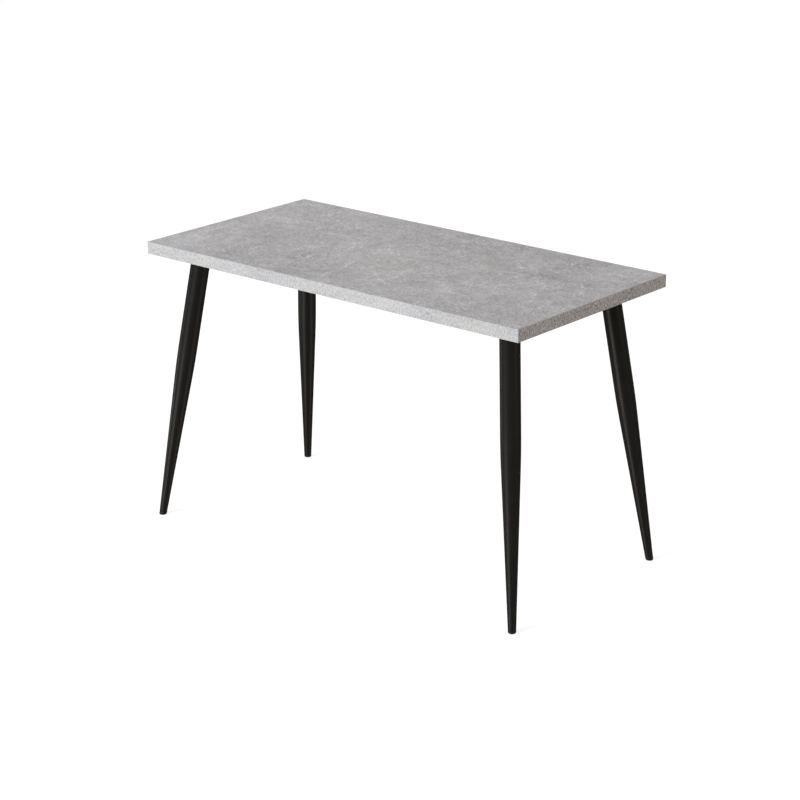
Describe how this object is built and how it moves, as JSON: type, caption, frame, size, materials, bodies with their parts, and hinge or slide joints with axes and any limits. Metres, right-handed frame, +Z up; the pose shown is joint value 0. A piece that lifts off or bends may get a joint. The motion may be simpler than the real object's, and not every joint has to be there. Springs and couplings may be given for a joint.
{
  "type": "extendable dining table",
  "caption": "Rectangular concrete-look dining table on splayed tapered black steel legs, with pull-out leaves hidden in the top's thickness at both ends.",
  "frame": {"origin": "on the floor, under the middle of the closed table", "axes": "+X to the right along the table's length, +Y towards the back, +Z up"},
  "size_m": [1.2, 0.6, 0.757],
  "materials": {
    "concrete_laminate": "matt grey concrete-look laminate on particleboard",
    "concrete_edge_band": "matt grey concrete-look edge band",
    "particleboard": "raw sanded particleboard",
    "beech": "raw beech",
    "rubber": "matt black",
    "black_plastic": "fine-textured black moulding",
    "black_powder_coat": "satin black powder coat",
    "black_bolt_steel": "black oxide",
    "zinc_steel": "bright zinc plate",
    "runner_steel": "zinc-plated rolled strip",
    "cage_steel": "plain pressed strip",
    "ball_steel": "polished balls"
  },
  "bodies": {
    "table": {"top_laminate": "concrete_laminate", "deck": "particleboard", "front_rim": "particleboard", "back_rim": "particleboard", "centre_rail": "particleboard", "front_edge_band": "concrete_edge_band", "back_edge_band": "concrete_edge_band", "right_edge_band": "concrete_edge_band", "left_edge_band": "concrete_edge_band", "right_cross_beam": "black_powder_coat", "left_cross_beam": "black_powder_coat", "front_stretcher": "black_powder_coat", "back_stretcher": "black_powder_coat", "frame_tabs": "black_powder_coat", "beam_end_caps": "black_plastic", "front_right_leg": "black_powder_coat", "front_left_leg": "black_powder_coat", "back_right_leg": "black_powder_coat", "back_left_leg": "black_powder_coat", "front_right_leg_plate": "black_powder_coat", "front_left_leg_plate": "black_powder_coat", "back_right_leg_plate": "black_powder_coat", "back_left_leg_plate": "black_powder_coat", "front_right_foot_glide": "black_plastic", "front_left_foot_glide": "black_plastic", "back_right_foot_glide": "black_plastic", "back_left_foot_glide": "black_plastic", "frame_screws": "zinc_steel", "leg_bolts": "black_bolt_steel", "rivet_nuts": "zinc_steel", "front_right_outer_runner": "runner_steel", "front_left_outer_runner": "runner_steel", "back_right_outer_runner": "runner_steel", "back_left_outer_runner": "runner_steel", "outer_runner_screws": "zinc_steel", "leaf_bumpers": "rubber"},
    "right_leaf": {"right_leaf_panel": "particleboard", "right_leaf_laminate": "concrete_laminate", "right_leaf_side_bands": "concrete_edge_band", "right_leaf_front": "particleboard", "right_leaf_front_band": "concrete_edge_band", "right_leaf_dowels": "beech", "front_right_inner_runner": "runner_steel", "back_right_inner_runner": "runner_steel", "right_inner_runner_screws": "zinc_steel"},
    "left_leaf": {"left_leaf_panel": "particleboard", "left_leaf_laminate": "concrete_laminate", "left_leaf_side_bands": "concrete_edge_band", "left_leaf_front": "particleboard", "left_leaf_front_band": "concrete_edge_band", "left_leaf_dowels": "beech", "front_left_inner_runner": "runner_steel", "back_left_inner_runner": "runner_steel", "left_inner_runner_screws": "zinc_steel"},
    "right_ball_cages": {"right_ball_cages": "cage_steel", "right_balls": "ball_steel"},
    "left_ball_cages": {"left_ball_cages": "cage_steel", "left_balls": "ball_steel"}
  },
  "joints": [
    {"name": "right_leaf_slide", "type": "slide", "parent": "table", "child": "right_leaf", "axis": [1, 0, 0], "range_m": [0, 0.4]},
    {"name": "left_leaf_slide", "type": "slide", "parent": "table", "child": "left_leaf", "axis": [-1, 0, 0], "range_m": [0, 0.4]},
    {"name": "right_ball_cage_slide", "type": "slide", "parent": "table", "child": "right_ball_cages", "axis": [1, 0, 0], "range_m": [0, 0.2]},
    {"name": "left_ball_cage_slide", "type": "slide", "parent": "table", "child": "left_ball_cages", "axis": [-1, 0, 0], "range_m": [0, 0.2]}
  ],
  "couplings": [
    {"joint": "right_ball_cage_slide", "follows": "right_leaf_slide", "ratio": 0.5},
    {"joint": "left_ball_cage_slide", "follows": "left_leaf_slide", "ratio": 0.5}
  ]
}
